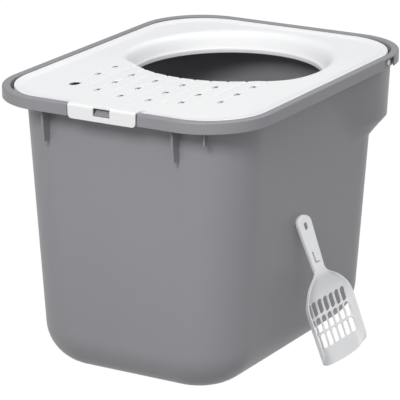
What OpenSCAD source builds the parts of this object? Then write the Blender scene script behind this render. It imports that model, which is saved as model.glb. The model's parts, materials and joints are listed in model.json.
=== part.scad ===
// Top-entry cat litter box: a drafted tub, a lid that pivots near its back, a snap latch and a scoop.
// X runs across the front, +Y to the back, +Z up; the origin is the middle of the tub's underside.

/* [Tub] */
// Length of the rim, front to back
tub_l = 520; // [480:5:560]
// Width of the rim
tub_w = 404; // [380:2:430]
// Height to the top of the rim
tub_h = 395; // [370:5:420]
// Wall thickness of the tub
wall = 2.5; // [2:0.1:3]
// Corner radius of the walls in plan
body_r = 78; // [60:1:90]
// Radius that rolls the walls into the floor
floor_r = 56; // [30:1:62]
// Distance from the rim's side to the side wall, just under the rim
side_setback = 23; // [20:0.5:26]
// Distance from the rim's front to the front wall, just under the rim
front_setback = 35; // [30:1:40]
// Distance from the rim's back to the lower back wall, just under the rim
back_setback = 38; // [34:1:44]
// Draft of the side walls, in degrees
side_draft = 3.76; // [2:0.1:4.2]
// Draft of the front wall, in degrees
front_draft = 0.2; // [0:0.1:2]
// Draft of the lower back wall, in degrees
back_draft = 2.6; // [1:0.1:3]

/* [Rim] */
// Corner radius of the rim's outline
rim_r = 93; // [86:1:98]
// Width of the rim's top face at the sides
rim_side = 6; // [5.5:0.1:7]
// Width of the rim's top face at the front and back
rim_end = 12; // [10:0.5:14]
// Height of the skirt that hangs from the rim
skirt_h = 16; // [15:0.5:20]
// Thickness of the skirt
skirt_t = 2.2; // [1.8:0.1:2.4]
// Depth of the lid's seat below the top of the rim
seat_drop = 13; // [13:0.1:14]

/* [Upper back] */
// Corner radius of the flared upper wall
flare_r = 102; // [98:1:104]
// Drop from the rim to the shoulder under the flare
flare_drop = 90; // [86:1:100]
// Height of the shoulder's slope
shoulder_h = 28; // [20:1:40]
// Step from the rim's inner wall in to the flared wall
flare_step = 0.6; // [0.5:0.1:0.8]
// Draft of the flared upper wall, in degrees
flare_draft = 2.5; // [1:0.1:3]

/* [Lid] */
// Thickness of the lid
lid_t = 2.4; // [2:0.1:3]
// Gap between the lid and the rim's inner wall
lid_gap = 1.4; // [1:0.1:2]
// Corner radius of the lid
lid_r = 100; // [99:1:104]
// Depth of the lid's top face below the top of the rim
lid_drop = 3.5; // [2.5:0.1:4]
// Radius of the entry hole
hole_r = 133; // [115:1:135]
// Distance from the hole's centre to the middle of the lid
hole_y = 61; // [45:1:65]
// Width of the sloping funnel round the hole
funnel_w = 17; // [12:0.5:20]
// Depth of the funnel
funnel_d = 20; // [14:0.5:22]
// Height of the collar under the funnel
collar_h = 6.5; // [5:0.5:9]

/* [Drain panel] */
// Distance between neighbouring grooves
groove_pitch = 22; // [20:0.5:24]
// Number of grooves
groove_count = 11; // [7:2:11]
// Depth of a groove at its start
groove_d = 0.9; // [0.6:0.1:1]
// Depth of a groove where it meets the hole
groove_end_d = 1.7; // [1.2:0.1:1.7]
// Length of a drain slot
slot_l = 14; // [8:0.5:16]
// Width of a drain slot
slot_w = 6.5; // [4:0.5:7]
// Depth of the rib across a drain slot, below the panel's face
slot_step = 1.2; // [0.8:0.1:1.6]
// Width of the rib across a drain slot
slot_rib = 1.6; // [1.2:0.1:2]
// Distance between the rows of slots
row_pitch = 43; // [38:1:46]
// Distance from the middle of the lid to the front row at its middle
front_row_y = 181; // [170:1:190]
// Radius of the arc that the rows follow
row_arc_r = 175; // [160:5:240]
// Length of the hole that stores the scoop
store_l = 20; // [18:1:26]
// Width of the hole that stores the scoop
store_w = 13; // [10:0.5:14]
// Distance from the middle of the lid to the hole that stores the scoop
store_y = 156; // [150:1:160]

/* [Lid pivot] */
// Diameter of the pivot pins
pin_d = 8; // [6:0.5:8]
// Radial clearance of a pivot pin in its hole
pin_clear = 0.1; // [0.05:0.01:0.1]
// Distance from the middle of the tub to the pivot axis
pivot_y = 162; // [156:1:164]
// Drop from the top of the rim to the pivot axis
pivot_drop = 8.5; // [8.2:0.1:8.7]
// Length of the window in the skirt beside a pivot pin
window_l = 28; // [24:1:32]

/* [Latch] */
// Width of the latch flap
latch_w = 105; // [90:1:120]
// Height of the latch flap
latch_h = 20; // [19:0.5:22]
// Thickness of the latch flap
latch_t = 2.2; // [1.8:0.1:2.4]
// Width of the window in the latch flap
latch_window_w = 26; // [20:1:32]
// Distance from the foot of the latch flap to its window, which is open up to the fold
latch_window_z = 7.2; // [6:0.1:9]
// Height that the latch stands over the rim
latch_rise = 2; // [0.6:0.1:3]
// Side gap between the flap and the notch in the rim
latch_gap = 1.8; // [0.8:0.1:2]

/* [Gussets] */
// Thickness of the front gussets
gusset_t = 3.2; // [2.5:0.1:4]
// Drop from the rim to the foot of the front gussets
gusset_drop = 65; // [50:1:75]
// Distance that the front gussets stand out from the wall
gusset_d = 14; // [10:0.5:18]
// Distance between the front gussets
gusset_gap = 202; // [180:2:216]
// Thickness of the rib at the right front corner
rib_t = 2.2; // [1.6:0.1:3]
// Distance that the corner rib stands out from the wall
rib_d = 20.5; // [16:0.5:21]
// Height of the corner rib
rib_h = 24; // [18:1:32]
// Direction of the corner rib, from the side towards the front, in degrees
rib_turn = 66; // [50:1:70]

/* [Scoop] */
// Length of the scoop
scoop_l = 217.5; // [205:0.5:235]
// Width of the scoop's floor at its middle
scoop_w = 71; // [69:0.5:76]
// Wall thickness of the scoop
scoop_t = 2; // [1.6:0.1:2.4]
// Height of the scoop's side walls
scoop_h = 17; // [15:0.5:20]
// Distance that a side wall leans out at its top
scoop_lean = 4; // [2:0.1:6]
// Width of the handle at its tip
handle_w = 23.2; // [20:0.2:26]
// Width of the handle at the neck
neck_w = 17; // [15:0.2:19]
// Thickness of the handle
handle_t = 7; // [6:0.5:8]
// Distance from the front edge to the neck
neck_v = 136; // [134:1:140]
// Distance between the scoop's slots across the floor
scoop_pitch = 10.3; // [9.4:0.1:10.4]
// Width of a scoop slot
scoop_slot_w = 8.3; // [6:0.1:8.4]
// Length of a scoop slot
scoop_slot_l = 22.2; // [18:0.1:22.4]
// Distance between the rows of scoop slots
scoop_row = 24; // [24:0.1:25]
// Distance from the front edge to the middle of the first row of slots
scoop_row_v = 36.8; // [34:0.1:38]
// Distance from the middle of the tub to the scoop's front edge
scoop_y = 1.1; // [-60:0.1:60]
// Turn of the scoop from lying flat to leaning on the wall, in degrees
scoop_turn = [79.4, -14, 68.7]; // [-180:0.05:180]
// Gap that the scoop keeps from the wall that it leans on and from the floor
scoop_gap = 0.35; // [0.3:0.05:0.5]

/* [Hidden] */

// Facets of an outline: round a quarter corner, along a side, along the front or back.
tub_n = [8, 8, 2];
lid_n = [9, 12, 8];
rim_z = tub_h - skirt_h;     // lower edge of the skirt
seat_z = tub_h - seat_drop;  // seat that carries the lid
plate_t = wall;              // thickness of the rim's top plate
shoulder_z = tub_h - flare_drop;
lid_top = tub_h - lid_drop;
lid_foot = seat_z + 0.3;     // lower edge of the lid's border
pivot_z = tub_h - pivot_drop;
latch_z = tub_h + latch_rise; // top of the latch and of the lid's tongue
latch_y = -tub_l / 2 + 2.5;  // fold line of the latch
grip_z = scoop_h - handle_t; // height of the back of the scoop's handle
groove_r = 5;                // radius of a groove's floor
tongue_run = 18;             // length of the tongue's slope down to the lid's face

// --- outlines ------------------------------------------------------------------------------------

// An outline is [half width, distance to the front, distance to the back, corner radius].
function inset(o, d) = [o[0] - d, o[1] - d, o[2] - d, max(o[3] - d, 1)];
function rim_line() = [tub_w / 2, tub_l / 2, tub_l / 2, rim_r];
function rim_inner() = [tub_w / 2 - rim_side, tub_l / 2 - rim_end, tub_l / 2 - rim_end, rim_r - rim_side];
function body_line(z) = [
    tub_w / 2 - side_setback - tan(side_draft) * (rim_z - z),
    tub_l / 2 - front_setback - tan(front_draft) * (rim_z - z),
    tub_l / 2 - back_setback - tan(back_draft) * (rim_z - z),
    body_r
];
// The flared upper wall runs down from the rim's inner wall, with a slight draft.
function flare_line(z) = let (o = inset(rim_inner(), flare_step - wall + tan(flare_draft) * (seat_z - z)))
    [o[0], tub_l / 2 - front_setback, o[2], flare_r];
function lid_line() = [
    rim_inner()[0] - lid_gap, rim_inner()[1] - lid_gap, rim_inner()[2] - lid_gap, lid_r
];

function arc(cx, cy, r, from, z, n) = [
    for (i = [0:n]) let (t = from + 90 * i / n) [cx + r * cos(t), cy + r * sin(t), z]
];
function between(p, q, n) = [for (i = [1:n - 1]) p + (q - p) * i / n];

// One closed ring of points round an outline, anticlockwise from the right side's back end.
function ring(o, z, n = tub_n) = let (
    a = o[0] - o[3], f = o[3] - o[1], b = o[2] - o[3], c = n[0],
    br = arc(a, b, o[3], 0, z, c), bl = arc(-a, b, o[3], 90, z, c),
    fl = arc(-a, f, o[3], 180, z, c), fr = arc(a, f, o[3], 270, z, c)
) concat(
    br, between(br[c], bl[0], n[2]), bl, between(bl[c], fl[0], n[1]),
    fl, between(fl[c], fr[0], n[2]), fr, between(fr[c], br[0], n[1])
);

function clamp01(t) = min(max(t, 0), 1);
function smooth(t) = let (c = clamp01(t)) c * c * (3 - 2 * c);
function mix(a, b, t) = a + (b - a) * t;

// Closed skin through a list of rings. Its ends are closed by a fan from their middles, or by a
// strip between the two sides of a channel's outline, or the last ring joins back to the first.
module loft(rings, ends = "fan") {
    n = len(rings[0]);
    m = len(rings);
    last = ends == "loop" ? m - 1 : m - 2;
    middles = ends == "fan" ? [[0, 0, rings[0][0][2]], [0, 0, rings[m - 1][0][2]]] : [];
    points = concat([for (r = rings) each r], middles);
    sides = [
        for (k = [0:last]) for (i = [0:n - 1]) let (
            j = (i + 1) % n, a = k * n, b = ((k + 1) % m) * n
        ) each [[a + i, b + i, b + j], [a + i, b + j, a + j]]
    ];
    fans = [
        for (i = [0:n - 1]) let (j = (i + 1) % n, b = (m - 1) * n)
            each [[m * n, i, j], [m * n + 1, b + j, b + i]]
    ];
    strips = [
        for (k = [-n / 4:n / 4 - 2]) let (
            i = (k + n) % n, j = (k + 1 + n) % n, p = (n / 2 - 1 - k) % n, q = (n / 2 - 2 - k) % n, b = (m - 1) * n
        ) each [[i, j, q], [i, q, p], [b + j, b + i, b + q], [b + q, b + i, b + p]]
    ];
    closed = ends == "fan" ? fans : ends == "strip" ? strips : [];
    polyhedron(points = points, faces = concat(sides, closed), convexity = 8);
}

// --- tub -----------------------------------------------------------------------------------------

// Share of the flare at a point: none on the front half, all of it at the upper back.
function flare(y, z) = let (
    drop = clamp01((seat_z - z) / flare_drop),
    from = mix(0, 90, drop), full = mix(pivot_y - 18, pivot_y + 16, drop)
) smooth((y - from) / (full - from)) * clamp01((z - shoulder_z + shoulder_h) / shoulder_h);

// The tub's wall at a height, set in by d, with its flare.
function wall_ring(z, d) = let (
    low = ring(inset(body_line(z), d), z), high = ring(inset(flare_line(z), d), z)
) [for (i = [0:len(low) - 1]) let (t = flare(low[i][1], z)) mix(low[i], high[i], t)];

wall_levels = [
    floor_r + 60, (floor_r + shoulder_z) / 2, shoulder_z - shoulder_h,
    for (i = [1:3]) shoulder_z - shoulder_h + shoulder_h * i / 3,
    for (i = [1:3]) mix(shoulder_z, seat_z - wall, i / 3)
];
fillet_steps = 5;

function floor_rings(d) = [
    for (i = [0:fillet_steps]) let (t = 90 * i / fillet_steps, z = floor_r - (floor_r - d) * cos(t))
        ring(inset(body_line(z), d + (floor_r - d) * (1 - sin(t))), z)
];
function reverse(list) = [for (i = [len(list) - 1:-1:0]) list[i]];

module tub_shell() {
    outer = concat(floor_rings(0), [for (z = wall_levels) wall_ring(z, 0)]);
    inner = concat(floor_rings(wall), [for (z = wall_levels) wall_ring(z, wall)], [wall_ring(seat_z, wall)]);
    under = inset(rim_inner(), -wall);
    skirt = inset(rim_line(), skirt_t);
    rim = [
        ring(under, seat_z - wall), ring(under, tub_h - plate_t),
        ring(skirt, tub_h - plate_t), ring(skirt, rim_z),
        ring(rim_line(), rim_z), ring(rim_line(), tub_h - 1.5),
        ring(inset(rim_line(), 0.4), tub_h - 0.5), ring(inset(rim_line(), 1.4), tub_h),
        ring(inset(rim_inner(), -1), tub_h), ring(rim_inner(), tub_h - 1), ring(rim_inner(), seat_z)
    ];
    loft(concat(outer, rim, reverse(inner)));
}

// Upright rib between the front wall and the underside of the rim.
module front_gusset() {
    root = -body_line(rim_z)[1];
    foot = tub_h - gusset_drop;
    rotate([90, 0, 90])
        linear_extrude(gusset_t, center = true)
            polygon([
                [root + wall / 2, foot + 3], [root - gusset_d + 2, foot], [root - gusset_d, foot + 3],
                [root - gusset_d - 3, rim_z - 8], [latch_y + skirt_t, rim_z + 0.5],
                [latch_y + skirt_t, seat_z - wall / 2], [root + wall / 2, seat_z - wall / 2]
            ]);
}

// Thin rib under the rim at the right front corner.
module corner_rib() {
    centre = [body_line(rim_z)[0] - body_r, -body_line(rim_z)[1] + body_r];
    translate(centre)
        rotate(-rib_turn)
            translate([body_r - wall / 2, 0, seat_z - wall / 2 - rib_h])
                rotate([90, 0, 0])
                    linear_extrude(rib_t, center = true)
                        polygon([[0, 0], [rib_d - 2, 0], [rib_d, 2], [rib_d, rib_h], [0, rib_h]]);
}

// Wedge that the latch window snaps over.
module catch() {
    back = -rim_inner()[1] - wall;
    low = latch_z - latch_h + latch_window_z + 0.6;
    tip = latch_y - 2.2;
    rotate([90, 0, 90])
        linear_extrude(latch_window_w - 2, center = true)
            polygon([[back + 1, low], [tip, low], [tip, low + 1.5], [back - 1, low + 7.5], [back + 1, low + 7.5]]);
}

module tub() {
    color([0.53, 0.53, 0.55])
        difference() {
            union() {
                difference() {
                    tub_shell();
                    // notch that the latch hangs in
                    translate([0, -tub_l / 2, 0])
                        notch(latch_w + 2 * latch_gap, rim_end - wall + 0.3, rim_z - 1, tub_h + 2);
                    translate([0, -tub_l / 2, 0])
                        notch(latch_w + 2 * latch_gap, rim_end + 4, tub_h - 3.4, tub_h + 2);
                }
                catch();
                for (side = [-1, 1])
                    translate([side * gusset_gap / 2 - 6, 0, 0])
                        front_gusset();
                corner_rib();
            }
            for (side = [-1, 1])
                scale([side, 1, 1])
                    pivot_window();
        }
}

// Box cut from the front edge of the rim.
module notch(w, d, low, high) {
    translate([-w / 2, -1, low])
        cube([w, d + 1, high - low]);
}

// Pivot hole, and the window in the skirt that shows the end of the pin.
module pivot_window() {
    out = rim_inner()[0] + wall;
    translate([rim_inner()[0] - 4, pivot_y, pivot_z])
        rotate([0, 90, 0])
            cylinder(d = pin_d + 2 * pin_clear, h = 12, $fn = 48);
    translate([out + 0.4, pivot_y - window_l / 2, rim_z - 1])
        cube([20, window_l, skirt_h - plate_t + 1]);
}

// --- lid -----------------------------------------------------------------------------------------

hole_at = [0, hole_y];
// Angle from the front direction, 0 at the front and 180 at the back.
function off_front(p) = let (d = p - hole_at) abs(atan2(d[0], -d[1]));
function funnel_share(p) = smooth((off_front(p) - 48) / 27);

// A ring at radius hole_r + dr and height z, matched point by point with the lid's outline.
function hole_ring(dr_front, dr_back, z_front, z_back) = [
    for (p = ring(lid_line(), 0, lid_n)) let (
        flat = [p[0], p[1]], d = flat - hole_at, t = funnel_share(flat),
        r = hole_r + mix(dr_front, dr_back, t)
    ) [d[0] / norm(d) * r, hole_y + d[1] / norm(d) * r, mix(z_front, z_back, t)]
];

module lid_shell() {
    o = lid_line();
    foot = lid_top - funnel_d;
    low = foot - collar_h;
    top = [
        ring(o, lid_foot, lid_n), ring(o, lid_top - 1.2, lid_n),
        ring(inset(o, 0.4), lid_top - 0.4, lid_n), ring(inset(o, 1.4), lid_top, lid_n),
        hole_ring(5, funnel_w + 6, lid_top, lid_top),
        hole_ring(3.5, funnel_w + 2, lid_top, lid_top - 0.6),
        hole_ring(2.6, funnel_w - 1.5, lid_top, lid_top - 2.6),
        hole_ring(2.2, funnel_w - 5, lid_top - 0.1, lid_top - funnel_d * 0.36),
        hole_ring(1.8, funnel_w - 8.5, lid_top - 0.2, lid_top - funnel_d * 0.66),
        hole_ring(1.4, funnel_w - 12, lid_top - 0.4, lid_top - funnel_d * 0.86),
        hole_ring(0.9, 2, lid_top - 0.7, foot - 0.2),
        hole_ring(0.3, 0.6, lid_top - 1.5, foot - 1.4),
        hole_ring(0, 0, lid_top - 2.5, foot - 2.6),
        hole_ring(0, 0, low, low)
    ];
    t = lid_t;
    under = [
        hole_ring(t, t, low, low), hole_ring(t, t, lid_top - 4, foot - 2.8),
        hole_ring(t + 0.6, 4.6, lid_top - t - 0.6, foot - t),
        hole_ring(t + 1.2, funnel_w - 10.5, lid_top - t - 0.2, lid_top - funnel_d * 0.86 - t),
        hole_ring(t + 1.8, funnel_w - 3, lid_top - t, lid_top - funnel_d * 0.36 - t),
        hole_ring(t + 3, funnel_w + 4, lid_top - t, lid_top - t),
        ring(inset(o, t), lid_top - t, lid_n), ring(inset(o, t), lid_foot, lid_n)
    ];
    loft(concat(top, under), ends = "loop");
}

// Distance that the rows of slots fall back at x.
function row_bend(x) = row_arc_r - sqrt(pow(row_arc_r, 2) - pow(x, 2));
function slot_x(i) = (i - (groove_count - 1) / 2) * groove_pitch;

// Upright bar with round ends, long in Y and centred on its axis.
module obround(l, w, h) {
    linear_extrude(h)
        union() {
            square([w, l - w], center = true);
            for (s = [-1, 1])
                translate([0, s * (l - w) / 2])
                    circle(d = w, $fn = 16);
        }
}

module drain_panel() {
    for (i = [0:groove_count - 1]) {
        x = slot_x(i);
        start = -front_row_y + row_bend(x) - slot_l / 2 - 6;
        edge = hole_y - sqrt(pow(hole_r, 2) - pow(x, 2));
        slope = atan((groove_end_d - groove_d) / (edge - start));
        translate([x, start, lid_top + groove_r - groove_d])
            rotate([-90 - slope, 0, 0])
                cylinder(r = groove_r, h = edge - start + 10, $fn = 24);
        // every other groove has slots, but for the corner where the scoop's hole is
        if (i % 2 == 0)
            for (row = [(i == 0 ? 1 : 0):2])
                translate([x, -front_row_y + row_bend(x) + row * row_pitch, 0])
                    ribbed_slot();
    }
    translate([slot_x(0), -store_y, lid_top - 2 * lid_t])
        obround(store_l, store_w, 4 * lid_t);
}

// Slot with a rib across its lower half.
module ribbed_slot() {
    translate([0, 0, lid_top - slot_step])
        obround(slot_l, slot_w, 2 * lid_t);
    difference() {
        translate([0, 0, lid_top - 2 * lid_t])
            obround(slot_l, slot_w, 2 * lid_t);
        translate([-slot_w, -slot_rib / 2, lid_top - 3 * lid_t])
            cube([2 * slot_w, slot_rib, 3 * lid_t - slot_step]);
    }
}

// Tongue that carries the latch over the rim, and runs down into the lid's face.
module tongue() {
    back = -lid_line()[1] + 2;
    low = latch_z - latch_t;
    rotate([90, 0, 90])
        linear_extrude(latch_w, center = true)
            polygon([
                [latch_y + 0.2, low], [latch_y + 0.2, latch_z],
                for (i = [0:6]) [back + tongue_run * i / 6, mix(latch_z, lid_top - 0.3, smooth(i / 6))],
                [back + tongue_run, lid_top - lid_t], [back + 9, lid_top - lid_t], [back, tub_h - 2.8]
            ]);
}

// Ear and pin that pivot in the tub's side.
module pivot_lug() {
    x = lid_line()[0];
    translate([x - lid_t - 2.6, pivot_y, pivot_z])
        rotate([0, 90, 0])
            cylinder(d = pin_d + 3, h = lid_t, $fn = 48);
    translate([x - lid_t - 2.6, pivot_y, pivot_z])
        rotate([0, 90, 0])
            cylinder(d = pin_d, h = lid_t + 2.6 + 6, $fn = 48);
}

module lid() {
    color([0.95, 0.95, 0.96]) {
        difference() {
            union() {
                lid_shell();
                tongue();
            }
            drain_panel();
        }
        pivot_lug();
        mirror([1, 0, 0])
            pivot_lug();
    }
}

// --- latch ---------------------------------------------------------------------------------------

module latch_tab() {
    t = latch_t;
    r = 3.6;
    color([0.95, 0.95, 0.96])
        difference() {
            intersection() {
                translate([0, latch_y, latch_z])
                    rotate([90, 0, 90])
                        linear_extrude(latch_w, center = true)
                            difference() {
                                union() {
                                    translate([-r, -latch_h])
                                        square([t, latch_h - r]);
                                    intersection() {
                                        translate([0, -r])
                                            circle(r = r, $fn = 48);
                                        translate([-r, -r])
                                            square([r, r]);
                                    }
                                }
                                translate([0, -r])
                                    circle(r = r - t, $fn = 48);
                            }
                // rounded lower corners
                translate([0, latch_y + 10, 0])
                    rotate([90, 0, 0])
                        linear_extrude(30)
                            rounded_foot(latch_w, latch_z - latch_h, latch_z + 1, 6);
            }
            // window, which leaves a narrow bridge at the fold
            translate([-latch_window_w / 2, latch_y - 10, latch_z - latch_h + latch_window_z])
                cube([latch_window_w, 10 - 1, latch_h]);
        }
}

// Upright plate outline with round lower corners.
module rounded_foot(w, low, high, r) {
    translate([-w / 2, low + r])
        square([w, high - low - r]);
    translate([-w / 2 + r, low])
        square([w - 2 * r, r + 1]);
    for (s = [-1, 1])
        translate([s * (w / 2 - r), low + r])
            circle(r = r, $fn = 48);
}

// --- scoop ---------------------------------------------------------------------------------------

// Stations along the blade:
// [distance, half width of the floor, lean of the wall, height of the lip, underside, thickness].
scoop_stations = let (w = scoop_w / 2, h = scoop_h, o = scoop_lean, t = scoop_t) [
    [0, w - 1.3, o * 0.55, h * 0.4, 0, t],
    [5, w - 0.7, o * 0.75, h * 0.66, 0.1, t],
    [12, w - 0.3, o * 0.88, h * 0.88, 0.3, t],
    [24, w - 0.1, o * 0.95, h, 0.6, t + 0.2],
    [56, w + 0.5, o * 0.95, h, 1.2, t + 0.6],
    [84, w + 0.5, o, h, 1.9, t + 1.2],
    [92, w - 0.9, o + 1, h, 2.1, t + 1.6],
    [98, w - 3.8, o + 2.6, h, 2.5, t + 2],
    [104, w - 6.4, o + 3, h, 3.5, t + 2.3],
    [110, w - 8.5, o + 1.4, h, 4.8, t + 2.8],
    [117, w - 12, o, h, 6.6, t + 3.2],
    [123, w - 17.4, o - 0.5, h, 8.2, t + 3.7],
    [neck_v - 8, (neck_w + 8.2) / 2, 2, h, grip_z - 0.7, t + 4.4],
    [neck_v - 3, (neck_w + 1.6) / 2, 0.9, h - 0.05, grip_z - 0.1, handle_t - 0.3],
    [neck_v + 2, neck_w / 2 - 0.1, 0, h - 0.1, grip_z + 0.1, handle_t - 0.4]
];

// Channel section: outside from the middle to the right lip, back along the inside, then the left side.
function scoop_section(s) = let (
    v = s[0], half = s[1], lip = s[3], low = s[4], floor_z = s[4] + s[5],
    slope = s[2] / (lip - low), r = min(5, (lip - low) * 0.45), q = min(3, (lip - floor_z) * 0.6),
    foot = half + slope * (floor_z - low) - scoop_t,
    right_out = [
        for (f = [0.3, 0.65]) [(half - r) * f, low],
        [half - r, low], [half - r * 0.3, low + r * 0.22], [half + slope * r, low + r], [half + s[2], lip]
    ],
    right_in = [
        [half + s[2] - scoop_t, lip], [foot + slope * q, floor_z + q],
        [foot - q * 0.3, floor_z + q * 0.25], [foot - q, floor_z],
        for (f = [0.65, 0.3]) [(foot - q) * f, floor_z]
    ],
    right = concat(right_out, right_in),
    left = [for (p = reverse(right)) [-p[0], p[1]]]
) [for (p = concat(right, left)) [p[0], v + bow(p[0], v), p[1]]];

// The front edge bows forward in its middle, so its corners lie further back.
function bow(u, v) = 3.2 * pow(u / (scoop_w / 2), 2) * clamp01(1 - v / 20);

scoop_rings = [for (s = scoop_stations) reverse(scoop_section(s))];

// Outline of the handle, set in by d: sides that widen to a round tip. Y runs from the handle's middle.
grip_mid = (neck_v + scoop_l) / 2;
function grip_ring(d, z) = let (r = handle_w / 2, tip = scoop_l - r - grip_mid, foot = neck_v - 1 - grip_mid) concat(
    [[neck_w / 2 - d, foot + d, z]],
    [for (i = [0:20]) [(r - d) * cos(9 * i), tip + (r - d) * sin(9 * i), z]],
    [[-neck_w / 2 + d, foot + d, z]]
);

// Grip with rounded edges on its face.
module grip() {
    translate([0, grip_mid, 0])
        loft([
            grip_ring(0.4, grip_z), grip_ring(0, grip_z + 0.4), grip_ring(0, scoop_h - 1.4),
            grip_ring(0.2, scoop_h - 0.7), grip_ring(0.7, scoop_h - 0.2), grip_ring(1.4, scoop_h)
        ]);
}

// Hollow in the back of the handle, which leaves walls all round.
module grip_hollow() {
    r = handle_w / 2 - scoop_t;
    foot = neck_v + 8;
    translate([0, 0, -1])
        linear_extrude(scoop_h - 2.2 + 1)
            union() {
                polygon([
                    [-neck_w / 2 + scoop_t, foot], [neck_w / 2 - scoop_t, foot],
                    [r, scoop_l - handle_w / 2], [-r, scoop_l - handle_w / 2]
                ]);
                translate([0, scoop_l - handle_w / 2])
                    circle(r = r, $fn = 48);
            }
}

// Rows of slots; those beside the walls are narrower.
module scoop_slots() {
    for (row = [0:2])
        for (i = [-3:3]) {
            trim = abs(i) == 3 ? 2.1 : 0;
            translate([i * (scoop_pitch - trim / 6), scoop_row_v + row * scoop_row, -3])
                obround(scoop_slot_l, scoop_slot_w - trim, 12);
        }
}

// A point of the scoop after its turn about X, Y and Z.
function turned(p) = let (
    a = scoop_turn[0], b = scoop_turn[1], c = scoop_turn[2],
    y = p[1] * cos(a) - p[2] * sin(a), z = p[1] * sin(a) + p[2] * cos(a),
    x = p[0] * cos(b) + z * sin(b)
) [x * cos(c) - y * sin(c), x * sin(c) + y * cos(c), z * cos(b) - p[0] * sin(b)];

// Place of the front edge's middle, where the scoop stands on the floor and leans on the side wall.
scoop_points = concat(
    [for (r = scoop_rings) for (p = r) turned(p)],
    [for (z = [grip_z, grip_z + 0.4]) for (p = grip_ring(grip_z + 0.4 - z, z)) turned(p + [0, grip_mid, 0])]
);
scoop_z = scoop_gap - min([for (p = scoop_points) p[2]]);
scoop_x = scoop_gap / cos(side_draft) + max([
    for (p = scoop_points) if (p[2] + scoop_z > floor_r) body_line(p[2] + scoop_z)[0] - p[0]
]);

module scoop() {
    color([0.93, 0.93, 0.94])
        translate([scoop_x, scoop_y, scoop_z])
            rotate(scoop_turn)
                difference() {
                    union() {
                        loft(scoop_rings, ends = "strip");
                        grip();
                    }
                    scoop_slots();
                    grip_hollow();
                    // hang hole
                    translate([0, scoop_l - 15.5, 0])
                        obround(11, 5.6, 30);
                    // slit that frees the clip tongue
                    translate([-3, neck_v + 20.5, 0])
                        obround(17, 2.6, 30);
                    translate([-3.5, neck_v + 12, 0])
                        cube([7.5, 1.8, 30]);
                }
}

tub();
lid();
latch_tab();
scoop();
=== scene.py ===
import json
import math

import bpy
import numpy as np
from mathutils import Euler, Matrix, Vector


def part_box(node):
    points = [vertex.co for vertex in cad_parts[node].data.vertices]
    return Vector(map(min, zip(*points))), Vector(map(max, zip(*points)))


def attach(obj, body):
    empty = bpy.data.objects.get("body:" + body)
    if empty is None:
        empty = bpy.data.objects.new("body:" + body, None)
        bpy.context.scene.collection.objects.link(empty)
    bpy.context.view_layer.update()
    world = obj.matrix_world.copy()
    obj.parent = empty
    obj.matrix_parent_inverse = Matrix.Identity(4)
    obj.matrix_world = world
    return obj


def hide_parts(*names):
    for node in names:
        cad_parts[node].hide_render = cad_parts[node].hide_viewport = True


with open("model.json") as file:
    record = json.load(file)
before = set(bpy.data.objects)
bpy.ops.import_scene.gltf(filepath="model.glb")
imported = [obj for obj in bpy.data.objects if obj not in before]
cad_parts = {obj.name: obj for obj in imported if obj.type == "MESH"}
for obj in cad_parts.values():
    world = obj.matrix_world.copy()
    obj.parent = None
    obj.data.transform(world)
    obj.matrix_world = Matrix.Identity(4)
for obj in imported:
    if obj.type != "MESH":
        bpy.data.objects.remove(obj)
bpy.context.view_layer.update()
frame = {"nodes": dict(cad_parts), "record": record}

# ---------------------------------------------------------------------------------------------
# Sizes, in millimetres. The main ones come from the frame. The others repeat the part's values, but
# for the forms that only the scene has.
# ---------------------------------------------------------------------------------------------
MM = 0.001
tub_lo, tub_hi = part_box("tub")
tub_w = (tub_hi[0] - tub_lo[0]) / MM
tub_l = (tub_hi[1] - tub_lo[1]) / MM
tub_h = tub_hi[2] / MM
joints = {j["name"]: j for j in frame["record"]["behaviour"]["joints"]}
pivot_y, pivot_z = [v / MM for v in joints["lid_hinge"]["pos_m"][1:]]
latch_y, latch_z = [v / MM for v in joints["latch_flex"]["pos_m"][1:]]

# tub: a drafted body, set back from the rim
wall = 2.5
body_r = 78
floor_r = 56
side_setback, front_setback, back_setback = 23, 35, 38
side_draft, front_draft, back_draft = 3.76, 0.2, 2.6
# tub: the rim, with a skirt outside and a seat for the lid inside
rim_r, rim_side, rim_end, seat_side = 93, 10.5, 12, 6
rim_round, rim_inner_round = 2.2, 1.2
skirt_h, skirt_t, skirt_round, under_round = 16, 2.2, 0.5, 0.6
seat_drop = 13
# tub: the flared upper back, and where the flare starts and is full, at its top and at its foot
flare_r, flare_drop, shoulder_h, flare_draft, flare_step = 102, 90, 28, 2.5, 0.6
flare_start = (0, 90)
flare_full = (pivot_y - 18, pivot_y + 16)
# tub: notch for the latch, pivot holes, and windows in the skirt that show the pins
notch_clear, notch_step_l, notch_step_h = 0.3, 4, 3.4
bore_in, bore_out = 4, 3
window_l, window_clear, window_reach = 28, 0.4, 20
# tub: gussets, corner rib, and the wedge that the latch snaps over
gusset_t, gusset_drop, gusset_d, gusset_gap, gusset_shift = 3.2, 65, 14, 202, -6
rib_t, rib_d, rib_h, rib_turn = 2.2, 20.5, 24, 66
catch_clear, catch_reach, catch_lip, catch_h = 0.6, 2.2, 1.5, 7.5

# lid: plate and border
lid_t, lid_gap, lid_r, lid_drop, lid_foot_gap = 2.4, 1.1, 91, 3.5, 0.3
lid_round, border_rise, border_w, border_steps = 1.4, 2.3, 16, 8
# lid: entry hole, whose front edge turns from a flatter arc into the round part, in degrees
hole_r, hole_y = 133, 61
lip_arc_r, lip_arc_y = 153.5, 91.7
lip_turn, lip_turn_span = 48, 30
# lid: funnel, which is narrower at the sides than at the back, in degrees from the front
funnel_w, funnel_d, collar_h = 17, 20, 7.3
side_share, side_turn, side_turn_span = 0.6, 95, 60
# lid: tongue that carries the latch
tongue_run, tongue_in, tongue_gap, tongue_knee, tongue_drop = 18, 2, 0.2, 9, 2.8
# lid: drain grooves, which get deeper towards the hole
groove_pitch, groove_count, groove_r = 22, 11, 3
groove_d, groove_end_d, groove_run = 0.3, 2.0, 14
groove_lead, groove_past = 6, 15
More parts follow.
